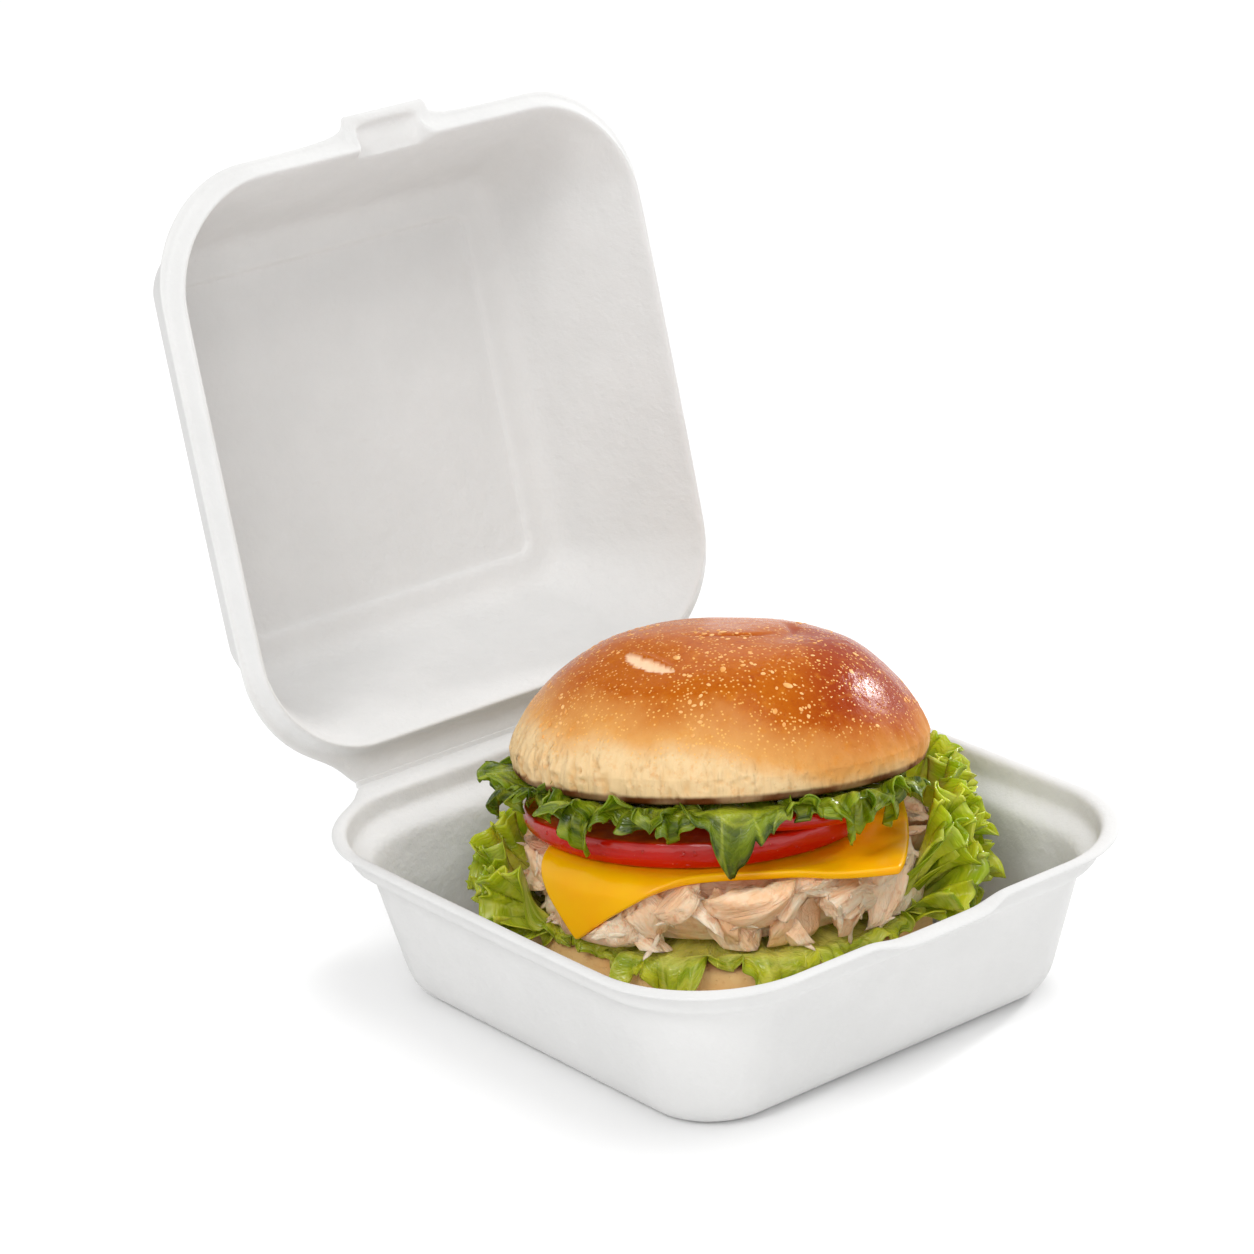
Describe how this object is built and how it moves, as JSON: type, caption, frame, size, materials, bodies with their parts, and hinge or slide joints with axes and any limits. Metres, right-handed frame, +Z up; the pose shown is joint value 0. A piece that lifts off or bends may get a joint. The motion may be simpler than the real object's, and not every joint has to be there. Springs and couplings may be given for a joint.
{
  "type": "burger in clamshell box",
  "caption": "Chicken burger with cheese, tomato and lettuce in a soft bun, standing in an open square moulded-pulp clamshell box with a hinged lid.",
  "frame": {"origin": "middle of the tray's underside, on the surface the box stands on", "axes": "+X along the hinge's crease, +Y from the latch notch towards the hinge, +Z up"},
  "size_m": [0.152, 0.2281, 0.1968],
  "materials": {
    "pulp": "matt white moulded fibre pulp",
    "bun_crust": "baked golden crust with a soft sheen",
    "bun_side": "soft pale bread with a toasted edge",
    "lettuce": "fresh green leaf, slightly glossy",
    "chicken": "moist flaked meat",
    "cheese": "soft melted slice, satin",
    "tomato": "wet tomato slice"
  },
  "bodies": {
    "tray": {"tray": "pulp", "bun_bottom": "bun_side", "chicken": "chicken", "cheese": "cheese", "tomato_lower": "tomato", "tomato_upper": "tomato", "lettuce_lower_left": "lettuce", "lettuce_lower_front": "lettuce", "lettuce_lower_right": "lettuce", "lettuce_tall": "lettuce", "lettuce_lower_back": "lettuce", "lettuce_upper_left": "lettuce", "lettuce_hanging": "lettuce", "lettuce_upper_right": "lettuce", "lettuce_upper_back": "lettuce", "bun_top": "bun_crust"},
    "lid": {"lid": "pulp"}
  },
  "joints": [
    {"name": "lid_hinge", "type": "hinge", "parent": "tray", "child": "lid", "pos_m": [0, 0.0811, 0.042], "axis": [1, 0, 0], "range_deg": [-76.5, 96]}
  ]
}
